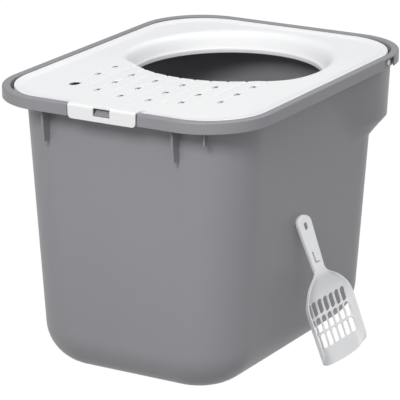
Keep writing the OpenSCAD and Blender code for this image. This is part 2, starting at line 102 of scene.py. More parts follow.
# lid: slots, and the hole that stores the scoop
slot_rib, slot_step, slot_lip, slot_chamfer, slot_shrink = 1.6, 1.2, 1.4, 0.45, 0.1
slot_l, slot_w, row_pitch, front_row_y, row_arc_r = 14, 6.5, 43, 181, 175
store_l, store_w, store_y, store_lip, store_chamfer = 20, 13, 156, 1.7, 0.7
relief_grow, store_relief_grow = 1.6, 2
# lid: pivot pins and the ears they grow from
pin_d, pin_clear, pin_reach = 8, 0.1, 4.6
ear_in, ear_wall = 2.6, 1.5

# latch flap
latch_w, latch_h, latch_t, fold_r, latch_r = 105, 20, 2.2, 3.6, 6
latch_window_w, latch_window_z, latch_gap = 26, 7.2, 1.8

# scoop: bowl, handle, slots, and its place beside the tub
scoop_l, scoop_w, scoop_t, scoop_h, scoop_lean = 217.5, 71, 2, 17, 4
handle_w, neck_w, handle_t, neck_v, handle_round = 23.2, 17, 7, 136, 1.5
hollow_v, hollow_cover = 8, 2.6
hang_in, hang_l, hang_w, hang_chamfer = 15.5, 11, 5.6, 0.25
slit_x, slit_v, slit_l, slit_w = -3, 20.5, 17, 2.6
cross_left, cross_right, cross_v, cross_w = -3.5, 4, 12, 1.8
scoop_pitch, scoop_slot_w, scoop_slot_l, scoop_row, scoop_row_v = 10.3, 8.3, 22.2, 24, 36.8
scoop_chamfer, outer_trim = 0.3, 0.7
scoop_y, scoop_gap = 1.1, 0.35
scoop_turn = (79.4, -14, 68.7)

rim_z = tub_h - skirt_h
seat_z = tub_h - seat_drop
shoulder_z = tub_h - flare_drop
lid_top = tub_h - lid_drop
lid_foot = seat_z + lid_foot_gap
grip_z = scoop_h - handle_t

# edges that turn by more than this are bevelled, and stay sharp in the shading, in degrees
SHARP = 35


# ---------------------------------------------------------------------------------------------
# Mesh helpers
# ---------------------------------------------------------------------------------------------
def make_object(name, verts, faces):
    """An object from points in millimetres."""
    mesh = bpy.data.meshes.new(name)
    mesh.from_pydata([tuple(float(c) * MM for c in v) for v in verts], [], [list(f) for f in faces])
    mesh.validate()
    mesh.update()
    obj = bpy.data.objects.new(name, mesh)
    bpy.context.scene.collection.objects.link(obj)
    return obj


def even_normals(obj):
    """Smooth shading, in which flat faces keep their own direction up to their rounded edges."""
    obj.data.shade_smooth()
    obj.data.set_sharp_from_angle(angle=math.radians(SHARP))
    mod = obj.modifiers.new("normals", "WEIGHTED_NORMAL")
    mod.mode = "FACE_AREA"
    mod.weight = 80
    mod.keep_sharp = True
    apply_modifiers(obj)


def skin_faces(n, m, closed=False):
    """Faces of a skin through m rings of n points; closed joins the last ring to the first."""
    faces = []
    for k in range(m if closed else m - 1):
        a, b = k * n, ((k + 1) % m) * n
        for i in range(n):
            j = (i + 1) % n
            faces.append((a + i, a + j, b + j, b + i))
    return faces


def loft(name, rings, ends="fan"):
    """A skin through rings of points, whose ends are closed from their middles (fan) or by one face
    each (face), or joined to each other (loop)."""
    n, m = len(rings[0]), len(rings)
    verts = np.concatenate([np.asarray(r, float) for r in rings])
    faces = skin_faces(n, m, ends == "loop")
    if ends == "face":
        faces.append(tuple(range(n - 1, -1, -1)))
        faces.append(tuple((m - 1) * n + i for i in range(n)))
    if ends == "fan":
        middles = np.array([verts[:n].mean(0), verts[-n:].mean(0)])
        verts = np.concatenate([verts, middles])
        for i in range(n):
            j = (i + 1) % n
            faces.append((m * n, j, i))
            faces.append((m * n + 1, (m - 1) * n + i, (m - 1) * n + j))
    return make_object(name, verts, faces)


def prism(name, profile, low, high, axis="z"):
    """A flat outline pulled along an axis. Its two numbers are the other two axes, in cyclic order."""
    order = {"x": (2, 0, 1), "y": (1, 2, 0), "z": (0, 1, 2)}[axis]
    rings = []
    for level in (low, high):
        flat = np.array([(p[0], p[1], level) for p in profile], float)
        rings.append(flat[:, list(order)])
    return loft(name, rings, "face")


def apply_modifiers(obj):
    graph = bpy.context.evaluated_depsgraph_get()
    mesh = bpy.data.meshes.new_from_object(obj.evaluated_get(graph))
    old = obj.data
    obj.modifiers.clear()
    obj.data = mesh
    bpy.data.meshes.remove(old)


def bevel(obj, width, segments=3, angle=SHARP):
    mod = obj.modifiers.new("bevel", "BEVEL")
    mod.width = width * MM
    mod.segments = segments
    mod.limit_method = "ANGLE"
    mod.angle_limit = math.radians(angle)
    mod.use_clamp_overlap = True
    apply_modifiers(obj)
    return obj


def join(name, objects):
    """One object from several, whose shells may pass into each other."""
    verts, faces, base = [], [], 0
    for o in objects:
        verts += [tuple(v.co / MM) for v in o.data.vertices]
        faces += [[i + base for i in p.vertices] for p in o.data.polygons]
        base += len(o.data.vertices)
    for o in objects:
        remove(o)
    return make_object(name, verts, faces)


def remove(obj):
    mesh = obj.data
    bpy.data.objects.remove(obj)
    bpy.data.meshes.remove(mesh)


def cut(obj, cutter, operation="DIFFERENCE"):
    """Cutters run a little past the faces that they cut."""
    mod = obj.modifiers.new("cut", "BOOLEAN")
    mod.operation = operation
    mod.solver = "EXACT"
    mod.object = cutter
    apply_modifiers(obj)
    remove(cutter)
    return obj


def clamp01(t):
    return np.clip(t, 0, 1)


def ease(t):
    c = clamp01(t)
    return c * c * (3 - 2 * c)


def mix(a, b, t):
    return a + (b - a) * t


def tan(degrees):
    return math.tan(math.radians(degrees))


def quarter(r, steps=4):
    """A rounded edge as (distance in, distance down), from its side to its top."""
    turn = np.radians(np.linspace(0, 90, steps + 1))
    return [(r * (1 - math.cos(a)), r * (1 - math.sin(a))) for a in turn]


def circle(a, b, r, steps):
    turn = np.radians(np.arange(steps) * 360 / steps)
    return [(a + r * math.cos(t), b + r * math.sin(t)) for t in turn]


def rectangle(a0, a1, b0, b1):
    return [(a0, b0), (a1, b0), (a1, b1), (a0, b1)]


def obround(l, w, grow=0.0, steps=12):
    """Outline of a slot, long in Y."""
    r = w / 2 + grow
    h = (l - w) / 2
    t = np.radians(np.linspace(0, 180, steps + 1))
    top = [(r * math.cos(a), h + r * math.sin(a)) for a in t]
    return top + [(-x, -y) for x, y in top]


def span(side, near, far):
    """The ends of a stretch in X on one side of the middle, the lower one first."""
    return sorted((side * near, side * far))


def slot_cutter(x, y, l, w, low, high, lip):
    """A slot's cutter with a small chamfer where it meets the face at height high."""
    levels = [(low, 0), (high - lip, 0), (high - lip * 0.3, lip * 0.35), (high, lip), (high + 2, lip)]
    rings = [np.array([(x + px, y + py, z) for px, py in obround(l, w, g)]) for z, g in levels]
    return loft("slot", rings, "face")


# ---------------------------------------------------------------------------------------------
# Outlines: [half width, to the front, to the back, corner radius]
# ---------------------------------------------------------------------------------------------
def inset(o, d):
    return [o[0] - d, o[1] - d, o[2] - d, max(o[3] - d, 1)]


rim_line = [tub_w / 2, tub_l / 2, tub_l / 2, rim_r]
rim_inner = [tub_w / 2 - rim_side, tub_l / 2 - rim_end, tub_l / 2 - rim_end, rim_r - rim_side]
seat_line = [tub_w / 2 - seat_side, tub_l / 2 - rim_end, tub_l / 2 - rim_end, rim_r - seat_side]
lid_line = [rim_inner[0] - lid_gap, rim_inner[1] - lid_gap, rim_inner[2] - lid_gap, lid_r]


def body_line(z):
    return [
        tub_w / 2 - side_setback - tan(side_draft) * (rim_z - z),
        tub_l / 2 - front_setback - tan(front_draft) * (rim_z - z),
        tub_l / 2 - back_setback - tan(back_draft) * (rim_z - z),
        body_r,
    ]


def flare_line(z):
    o = inset(seat_line, flare_step - wall + tan(flare_draft) * (seat_z - z))
    return [o[0], tub_l / 2 - front_setback, o[2], flare_r]


def ring(o, z, n):
    """One closed ring round an outline: n is the facets of a corner, a side and an end."""
    a, f, b, r = o[0] - o[3], o[3] - o[1], o[2] - o[3], o[3]
    corners = []
    for cx, cy, start in ((a, b, 0), (-a, b, 90), (-a, f, 180), (a, f, 270)):
        t = np.radians(start + 90 * np.arange(n[0] + 1) / n[0])
        corners.append(np.stack([cx + r * np.cos(t), cy + r * np.sin(t)], 1))
    points = []
    for k, count in enumerate((n[2], n[1], n[2], n[1])):
        here, there = corners[k], corners[(k + 1) % 4]
        t = np.arange(1, count)[:, None] / count
        points += [here, here[-1] + (there[0] - here[-1]) * t]
    flat = np.concatenate(points)
    return np.column_stack([flat, np.full(len(flat), float(z))])


# ---------------------------------------------------------------------------------------------
# Tub
# ---------------------------------------------------------------------------------------------
# facets of a corner, a side and an end
TUB_N = (18, 44, 14)


def flare(y, z):
    """How far the wall has gone from the body (0) to the flare (1) at a place."""
    drop = clamp01((seat_z - z) / flare_drop)
    start, full = mix(*flare_start, drop), mix(*flare_full, drop)
    return ease((y - start) / (full - start)) * clamp01((z - shoulder_z + shoulder_h) / shoulder_h)


def wall_ring(z, d):
    low, high = ring(inset(body_line(z), d), z, TUB_N), ring(inset(flare_line(z), d), z, TUB_N)
    return mix(low, high, flare(low[:, 1], z)[:, None])


def floor_rings(d, steps=14):
    rings = []
    for i in range(steps + 1):
        t = math.radians(90 * i / steps)
        z = floor_r - (floor_r - d) * math.cos(t)
        rings.append(ring(inset(body_line(z), d + (floor_r - d) * (1 - math.sin(t))), z, TUB_N))
    return rings


def tub_shell():
    shoulder_foot = shoulder_z - shoulder_h
    levels = list(np.linspace(floor_r, shoulder_foot, 9)[1:])
    levels += list(np.linspace(shoulder_foot, shoulder_z, 13)[1:])
    levels += list(np.linspace(shoulder_z, seat_z - wall, 17)[1:])
    outer = floor_rings(0) + [wall_ring(z, 0) for z in levels]
    inner = floor_rings(wall) + [wall_ring(z, wall) for z in levels] + [wall_ring(seat_z, wall)]
    # up to the rim from below, down inside the skirt, round its edge, over the rim and down to the seat
    under, skirt_in, plate = inset(seat_line, -wall), inset(rim_line, skirt_t), tub_h - wall
    profile = [
        (under, seat_z - wall), (under, plate - under_round), (inset(under, -under_round), plate),
        (inset(rim_line, skirt_t + under_round), plate), (skirt_in, plate - under_round),
        (skirt_in, rim_z + skirt_round), (inset(rim_line, skirt_t - skirt_round), rim_z),
        (inset(rim_line, skirt_round), rim_z), (rim_line, rim_z + skirt_round),
    ]
    profile += [(inset(rim_line, d), tub_h - down) for d, down in quarter(rim_round)]
    profile += [(inset(rim_inner, -d), tub_h - down) for d, down in quarter(rim_inner_round)[::-1]]
    profile.append((rim_inner, seat_z))
    return loft("tub_shell", outer + [ring(o, z, TUB_N) for o, z in profile] + inner[::-1])


def cut_notch(tub):
    """The notch in the front rim that the latch hangs in, and the step that its tongue crosses."""
    half, front = latch_w / 2 + latch_gap, -tub_l / 2
    notch = rectangle(-half, half, front - 1, front + rim_end - wall + notch_clear)
    cut(tub, prism("notch", notch, rim_z - 1, tub_h + 2))
    step = rectangle(-half, half, front - 1, front + rim_end + notch_step_l)
    cut(tub, prism("notch", step, tub_h - notch_step_h, tub_h + 2))


def cut_pivots(tub):
    """The pivot holes, and the windows in the skirt that show the ends of the pins."""
    hole = circle(pivot_y, pivot_z, pin_d / 2 + pin_clear, 48)
    window = rectangle(pivot_y - window_l / 2, pivot_y + window_l / 2, rim_z - 1, tub_h - wall)
    face = seat_line[0] + wall
    for side in (-1, 1):
        cut(tub, prism("bore", hole, *span(side, rim_inner[0] - bore_in, seat_line[0] + bore_out), "x"))
        cut(tub, prism("window", window, *span(side, face + window_clear, face + window_reach), "x"))


def gusset(side):
    """One of the two gussets under the front rim."""
    root, foot = -body_line(rim_z)[1], tub_h - gusset_drop
    inside, edge, top = root + wall / 2, latch_y + skirt_t, seat_z - wall / 2
    shape = [
        (inside, foot + 3), (root - gusset_d + 2, foot), (root - gusset_d, foot + 3),
        (root - gusset_d - 3, rim_z - 8), (edge, rim_z + 0.5), (edge, top), (inside, top),
    ]
    x = side * gusset_gap / 2 + gusset_shift
    return bevel(prism("gusset", shape[::-1], x - gusset_t / 2, x + gusset_t / 2, "x"), 0.5)


def corner_rib():
    """The thin rib under the rim at the right front corner."""
    centre_x, centre_y = body_line(rim_z)[0] - body_r, -body_line(rim_z)[1] + body_r
    outline = [(0, 0), (rib_d - 2, 0), (rib_d, 2), (rib_d + 0.5, rib_h), (0, rib_h)]
    rib = prism("rib", [(z, r) for r, z in outline], -rib_t / 2, rib_t / 2, "y")
    a = math.radians(-rib_turn)
    for v in rib.data.vertices:
        r, off, z = v.co.x / MM + body_r - wall / 2, v.co.y / MM, v.co.z / MM + seat_z - wall / 2 - rib_h
        x = centre_x + r * math.cos(a) - off * math.sin(a)
        y = centre_y + r * math.sin(a) + off * math.cos(a)
        v.co = Vector((x, y, z)) * MM
    return bevel(rib, 0.3, 2)


def catch_wedge():
    """The wedge that the latch snaps over."""
    back, tip = -rim_inner[1] - wall, latch_y - catch_reach
    low = latch_z - latch_h + latch_window_z + catch_clear
    top, half = low + catch_h, latch_window_w / 2 - 1
    shape = [(back + 1, low), (tip, low), (tip, low + catch_lip), (back - 1, top), (back + 1, top)]
    return bevel(prism("catch", shape[::-1], -half, half, "x"), 0.4, 2)


def build_tub():
    tub = tub_shell()
    cut_notch(tub)
    cut_pivots(tub)
    return join("tub_body", [tub, gusset(-1), gusset(1), corner_rib(), catch_wedge()])


# ---------------------------------------------------------------------------------------------
# Lid
# ---------------------------------------------------------------------------------------------
# facets of a corner, a side and an end
LID_N = (26, 60, 40)


def hole_ring(dr_front, dr_back, z_front, z_back):
    """A ring round the entry hole, so much wider than it at the front and at the back, and so high."""
    flat = ring(lid_line, 0, LID_N)[:, :2]
    d = flat - np.array([0, hole_y])
    off = np.abs(np.degrees(np.arctan2(d[:, 0], -d[:, 1])))
    t = ease((off - lip_turn) / lip_turn_span)
    unit = d / np.linalg.norm(d, axis=1)[:, None]
    # the front edge follows a flatter arc than the rest of the hole
    b = unit[:, 1] * (hole_y - lip_arc_y)
    arc = np.sqrt(b ** 2 + lip_arc_r ** 2 - (hole_y - lip_arc_y) ** 2) - b
    # the funnel is steeper at the sides than at the back
    spread = mix(side_share, 1, ease((off - side_turn) / side_turn_span))
    r = mix(arc + dr_front, hole_r + dr_back * spread, t)
    xy = unit * r[:, None] + np.array([0, hole_y])
    return np.column_stack([xy, mix(z_front, z_back, t)])


def lid_shell():
    """From the foot of the side wall over the border and the face, down the funnel and its collar,
    and back along the underside."""
    o, t = lid_line, lid_t
    foot = lid_top - funnel_d
    low = foot - collar_h
    rings = [ring(o, lid_foot, LID_N)]
    rings += [ring(inset(o, d), lid_top + border_rise - down, LID_N) for d, down in quarter(lid_round)]
    for step in range(1, border_steps + 1):
        f = step / border_steps
        rings.append(ring(inset(o, lid_round + border_w * f), lid_top + border_rise * (1 - ease(f)), LID_N))
    # rows of: radius over the hole at the front and at the back, height at the front and at the back
    rings += [hole_ring(*row) for row in (
        (7, funnel_w + 14, lid_top, lid_top),
        (6.2, funnel_w + 10, lid_top, lid_top - 0.2),
        (5.4, funnel_w + 6.5, lid_top, lid_top - 0.75),
        (4.8, funnel_w + 3.4, lid_top, lid_top - 1.7),
        (4.2, funnel_w + 0.6, lid_top, lid_top - 3.0),
        (3.6, funnel_w - 2, lid_top, lid_top - 4.7),
        (3.0, funnel_w - 5, lid_top, lid_top - funnel_d * 0.37),
        (2.7, funnel_w - 8, lid_top, lid_top - funnel_d * 0.56),
        (2.4, funnel_w - 10.5, lid_top, lid_top - funnel_d * 0.73),
        (2.2, funnel_w - 12.6, lid_top - 0.02, lid_top - funnel_d * 0.87),
        (1.9, 2.4, lid_top - 0.06, foot - 0.1),
        (1.3, 1.1, lid_top - 0.25, foot - 0.7),
        (0.7, 0.35, lid_top - 0.75, foot - 1.6),
        (0.25, 0.05, lid_top - 1.5, foot - 2.7),
        (0, 0, lid_top - 2.5, foot - 3.6),
        (0, 0, low + 0.5, low + 0.5),
        (0.4, 0.4, low, low),
        (t - 0.3, t - 0.3, low, low),
        (t, t, low + 0.4, low + 0.4),
        (t, t, lid_top - 4, foot - 2.8),
        (t + 0.6, 4.6, lid_top - t - 0.6, foot - t),
        (t + 1.2, funnel_w - 10.5, lid_top - t - 0.2, lid_top - funnel_d * 0.86 - t),
        (t + 1.8, funnel_w - 3, lid_top - t, lid_top - funnel_d * 0.36 - t),
        (t + 3, funnel_w + 4, lid_top - t, lid_top - t),
    )]
    rings += [ring(inset(o, t), lid_top - t, LID_N), ring(inset(o, t), lid_foot, LID_N)]
    return loft("lid_shell", rings, "loop")


def tongue():
    """The tongue that carries the latch over the rim."""
    back, start, under = -lid_line[1] + tongue_in, latch_y + tongue_gap, lid_top - lid_t
    shape = [(start, latch_z - latch_t), (start, latch_z)]
    shape += [(back + tongue_run * f, mix(latch_z, lid_top - 0.1, ease(f))) for f in np.linspace(0, 1, 17)]
    shape += [(back + tongue_run, under), (back + tongue_knee, under), (back, tub_h - tongue_drop)]
    return prism("tongue", shape[::-1], -latch_w / 2, latch_w / 2, "x")


def groove_x(i):
    return (i - (groove_count - 1) / 2) * groove_pitch


def row_bend(x):
    """How far a row of slots falls back at x."""
    return row_arc_r - math.sqrt(row_arc_r ** 2 - x ** 2)


def groove_cutter(x):
    """A round bar along a groove, which sinks deeper near the hole's lip and runs on past it."""
    start = -front_row_y + row_bend(x) - slot_l / 2 - groove_lead
    edge = lip_arc_y - math.sqrt(lip_arc_r ** 2 - x ** 2)
    deep = groove_d + (groove_end_d - groove_d) * (groove_run + groove_past) / groove_run
    rings = []
    # radius, place and depth, with a rounded start
    for r, y, depth in (
        (groove_r - 0.35, start - 1.6, groove_d), (groove_r - 0.12, start - 0.6, groove_d),
        (groove_r, start + 1, groove_d), (groove_r, edge - groove_run, groove_d),
        (groove_r, edge + groove_past, deep),
    ):
        rings.append(np.array([(a, y, z) for z, a in circle(lid_top + groove_r - depth, x, r, 48)]))
    return loft("groove", rings, "face")


def half_slots(x, y, grow):
    """Outlines of the two halves of a slot, on either side of the rib across it."""
    half = slot_w / 2 + grow
    outline = [(px, py) for px, py in obround(slot_l, slot_w, grow) if py > slot_rib / 2]
    outline += [(-half, slot_rib / 2), (half, slot_rib / 2)]
    return [[(x + side * px, y + side * py) for px, py in outline] for side in (1, -1)]


def cut_slots(lid):
    """Slots in every other groove, and the hole that stores the scoop. The plate is thinner round
    them, from below."""
    top, below = lid_top - groove_d * 0.2, lid_top - 3 * lid_t
    pockets, holes, reliefs = [], [], []
    for i in range(0, groove_count, 2):
        x = groove_x(i)
        # the storage hole takes the place of the first slot
        for row in range(1 if i == 0 else 0, 3):
            y = -front_row_y + row_bend(x) + row * row_pitch
            pockets.append(slot_cutter(x, y, slot_l, slot_w, top - slot_step, top, slot_chamfer))
            holes += [prism("hole", o, below, top) for o in half_slots(x, y, -slot_shrink)]
            reliefs += [prism("relief", o, below, top - slot_lip) for o in half_slots(x, y, relief_grow)]
    x = groove_x(0)
    holes.append(slot_cutter(x, -store_y, store_l, store_w, below, lid_top, store_chamfer))
    wide = [(x + px, py - store_y) for px, py in obround(store_l, store_w, store_relief_grow)]
    reliefs.append(prism("relief", wide, below, lid_top - store_lip))
    for name, cutters in (("pockets", pockets), ("holes", holes), ("reliefs", reliefs)):
        cut(lid, join(name, cutters))


def pivot_pins():
    """The pins of the pivot and the ears that they grow from."""
    pieces = []
    start = lid_line[0] - lid_t - ear_in
    for side in (-1, 1):
        for r, end in ((pin_d / 2 + ear_wall, start + lid_t), (pin_d / 2, seat_line[0] + pin_reach)):
            pin = prism("pin", circle(pivot_y, pivot_z, r, 64), *span(side, start, end), "x")
            pieces.append(bevel(pin, 0.5, 2))
    return pieces


def build_lid():
    lid = lid_shell()
    cut(lid, tongue(), "UNION")
    cut(lid, join("grooves", [groove_cutter(groove_x(i)) for i in range(groove_count)]))
    cut_slots(lid)
    return join("lid_panel", [lid] + pivot_pins())


# ---------------------------------------------------------------------------------------------
# Latch flap
# ---------------------------------------------------------------------------------------------
def build_latch():
    y, z, low = latch_y, latch_z, latch_z - latch_h
    turn = np.radians(np.linspace(0, 90, 9))
    outer, inner = [
        [(y - r * math.sin(a), z - fold_r + r * math.cos(a)) for a in turn]
        for r in (fold_r, fold_r - latch_t)
    ]
    shape = outer + [(y - fold_r, low), (y - fold_r + latch_t, low)] + inner[::-1]
    half = latch_w / 2
    flap = prism("flap", shape, -half, half, "x")
    # rounded lower corners
    corner = quarter(latch_r, 12)
    outline = [(z + 1, -half)]
    outline += [(low + up, -half + d) for d, up in corner]
    outline += [(low + d, half - up) for d, up in corner]
    outline += [(z + 1, half)]
    cut(flap, prism("keep", outline, y - 20, y + 10, "y"), "INTERSECT")
    # window over the catch, open up to the fold
    window = rectangle(low + latch_window_z, z + latch_window_z, -latch_window_w / 2, latch_window_w / 2)
    cut(flap, prism("window", window, y - 10, y - 1, "y"))
    bevel(flap, 0.35, 2, 50)
    flap.name = "latch_flap"
    return flap


# ---------------------------------------------------------------------------------------------
# Scoop, built lying flat and then leaned on the tub's wall
# ---------------------------------------------------------------------------------------------
half_w = scoop_w / 2
# distance from the nose, half width of the floor, lean of the wall, height of the lip, height of
# the underside, thickness
STATIONS = np.array([
    (0, half_w - 1.3, scoop_lean * 0.45, scoop_h * 0.3, 0, scoop_t),
    (5, half_w - 0.7, scoop_lean * 0.7, scoop_h * 0.58, 0.1, scoop_t),
    (12, half_w - 0.3, scoop_lean * 0.88, scoop_h * 0.84, 0.3, scoop_t),
    (24, half_w - 0.1, scoop_lean * 0.95, scoop_h, 0.6, scoop_t + 0.2),
    (56, half_w + 0.5, scoop_lean * 0.95, scoop_h, 1.2, scoop_t + 0.6),
    (84, half_w + 0.5, scoop_lean, scoop_h, 1.9, scoop_t + 1.2),
    (92, half_w - 0.9, scoop_lean + 1, scoop_h, 2.1, scoop_t + 1.6),
    (98, half_w - 3.8, scoop_lean + 2.6, scoop_h, 2.5, scoop_t + 2),
    (104, half_w - 6.4, scoop_lean + 3, scoop_h, 3.5, scoop_t + 2.3),
    (110, half_w - 8.5, scoop_lean + 1.4, scoop_h, 4.8, scoop_t + 2.8),
    (117, half_w - 12, scoop_lean, scoop_h, 6.6, scoop_t + 3.2),
    (123, half_w - 17.4, scoop_lean - 0.5, scoop_h, 8.2, scoop_t + 3.7),
    (neck_v - 8, (neck_w + 8.2) / 2, 2, scoop_h, grip_z - 0.7, scoop_t + 4.4),
    (neck_v - 3, (neck_w + 1.6) / 2, 0.9, scoop_h - 0.05, grip_z - 0.1, handle_t - 0.3),
    (neck_v + 2, neck_w / 2 - 0.1, 0, scoop_h - 0.1, grip_z + 0.1, handle_t - 0.4),
])
# where the floor's facets lie, as shares of its half width
FLOOR_STEPS = (0.25, 0.5, 0.75, 0.92)


def smooth_rows(table, at, reach=4.0):
    """A table's columns at finer steps, as smooth curves through its corners."""
    wide = np.linspace(-reach, reach, 17)
    weight = np.cos(wide / reach * math.pi / 2) ** 2
    weight /= weight.sum()
    columns = []
    for c in range(1, table.shape[1]):
        columns.append(sum(w * np.interp(at + d, table[:, 0], table[:, c]) for d, w in zip(wide, weight)))
    return np.column_stack(columns)


def scoop_section(v, half, lean, lip, low, t):
    """Outline across the scoop at v: underside, rounded corner, outer wall, its edge, and back inside."""
    floor_z = low + t
    slope = lean / (lip - low)
    r, q = min(5, (lip - low) * 0.45), min(3, (lip - floor_z) * 0.6)
    foot = half + slope * t - scoop_t
    flat_out = [((half - r) * f, low) for f in FLOOR_STEPS]
    corner = [
        (half - r, low), (half - r * 0.55, low + r * 0.07), (half - r * 0.18, low + r * 0.3),
        (half + slope * r * 0.62, low + r * 0.62), (half + slope * r, low + r),
    ]
    e = min(0.5, (lip - low - r) * 0.3)
    wall_out = [(half + slope * (z - low), z) for z in np.linspace(low + r, lip - e, 5)[1:]]
    edge = [(half + lean - 0.15, lip - e * 0.3), (half + lean - 0.6, lip), (half + lean - scoop_t + 0.6, lip)]
    edge += [(half + lean - scoop_t + 0.15, lip - e * 0.3)]
    e = min(0.5, (lip - floor_z - q) * 0.3)
    wall_in = [(half + slope * (z - low) - scoop_t, z) for z in np.linspace(lip - e, floor_z + q, 5)]
    back = [(foot + slope * q * 0.4 - q * 0.12, floor_z + q * 0.5)]
    back += [(foot - q * 0.35, floor_z + q * 0.15), (foot - q, floor_z)]
    flat_in = [((foot - q) * f, floor_z) for f in FLOOR_STEPS[::-1]]
    right = flat_out + corner + wall_out + edge + wall_in + back + flat_in
    full = right + [(-x, z) for x, z in right[::-1]]
    # the front edge is bowed, with round corners
    side = np.minimum(np.abs([x for x, _ in full]) / half_w, 1)
    bow = (3.2 * side ** 2 + 5.5 * side ** 12) * max(1 - v / 20, 0)
    return np.array([(x, v + b, z) for (x, z), b in zip(full, bow)])[::-1]


def channel_loft(name, rings):
    """A skin through channel outlines, whose two ends are closed by strips between their two sides."""
    n, m = len(rings[0]), len(rings)
    faces = skin_faces(n, m)
    half, b = n // 2, (m - 1) * n
    for k in range(-(n // 4), n // 4 - 1 + n % 4 // 2):
        i, j, p, q = k % n, (k + 1) % n, (half - 1 - k) % n, (half - 2 - k) % n
        faces += [(i, p, q, j), (b + i, b + j, b + q, b + p)]
    return make_object(name, np.concatenate(rings), faces)


def grip_ring(d, z, foot, steps=32):
    """Outline of the handle set in by d, from foot on: sides that widen to a round tip."""
    r = handle_w / 2
    turn = np.radians(np.linspace(0, 180, steps + 1))
    tip = [((r - d) * math.cos(a), scoop_l - r + (r - d) * math.sin(a), z) for a in turn]
    right = [(neck_w / 2 - d, foot, z)]
    right += [
        (mix(neck_w / 2, r, f) - d, mix(foot, scoop_l - r, f), z) for f in np.linspace(0, 1, 6)[1:-1]
    ]
    return np.array(right + tip + [(-x, y, z) for x, y, z in right[::-1]])


def scoop_blade():
    """The bowl, with three rows of slots; those beside its walls are narrower."""
    at = np.arange(0, neck_v + 2.01, 1.5)
    rows = smooth_rows(STATIONS, at)
    blade = channel_loft("blade", [scoop_section(v, *row) for v, row in zip(at, rows)])
    slots = []
    for row in range(3):
        for i in range(-3, 4):
            trim = outer_trim if abs(i) == 3 else 0
            v, x = scoop_row_v + row * scoop_row, i * (scoop_pitch - trim / 6)
            face = np.interp(v, at, rows[:, 3] + rows[:, 4])
            slots.append(slot_cutter(x, v, scoop_slot_l, scoop_slot_w - trim, -3, face, scoop_chamfer))
    return cut(blade, join("slots", slots))


def scoop_grip():
    """The handle, with a round edge to its face, a hollow back, a hang hole and an L-shaped slit."""
    levels = [(grip_z, 0.5), (grip_z + 0.15, 0.15), (grip_z + 0.5, 0)]
    levels += [(scoop_h - down, d) for d, down in quarter(handle_round, 6)]
    grip = loft("grip", [grip_ring(d, z, neck_v - 1 + d) for z, d in levels], "face")
    roof = scoop_h - hollow_cover
    hollow = [(-1, scoop_t), (roof, scoop_t), (roof + 0.4, scoop_t + 0.4)]
    cut(grip, loft("hollow", [grip_ring(d, z, neck_v + hollow_v) for z, d in hollow], "face"))
    cut(grip, slot_cutter(0, scoop_l - hang_in, hang_l, hang_w, 0, scoop_h, hang_chamfer))
    slit = [(x + slit_x, y + neck_v + slit_v) for x, y in obround(slit_l, slit_w)]
    cut(grip, prism("slit", slit, 0, 2 * scoop_h))
    cross = rectangle(cross_left, cross_right, neck_v + cross_v, neck_v + cross_v + cross_w)
    cut(grip, prism("slit", cross, 0, 2 * scoop_h))
    return grip


def build_scoop():
    scoop = join("scoop_body", [scoop_blade(), scoop_grip()])
    turned = Euler([math.radians(a) for a in scoop_turn], "XYZ").to_matrix().to_4x4()
    scoop.data.transform(turned)
    # it stands beside the tub, its top as high as the part's, and leans on the tub's drafted wall
    points = np.array([v.co / MM for v in scoop.data.vertices])
    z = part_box("scoop")[1][2] / MM - points[:, 2].max()
    wall_x = tub_w / 2 - side_setback - tan(side_draft) * (rim_z - points[:, 2] - z)
    gaps = np.where(points[:, 2] + z > floor_r, wall_x - points[:, 0], -np.inf)
    x = scoop_gap / math.cos(math.radians(side_draft)) + gaps.max()
    scoop.data.transform(Matrix.Translation(Vector((x, scoop_y, z)) * MM))
    return scoop


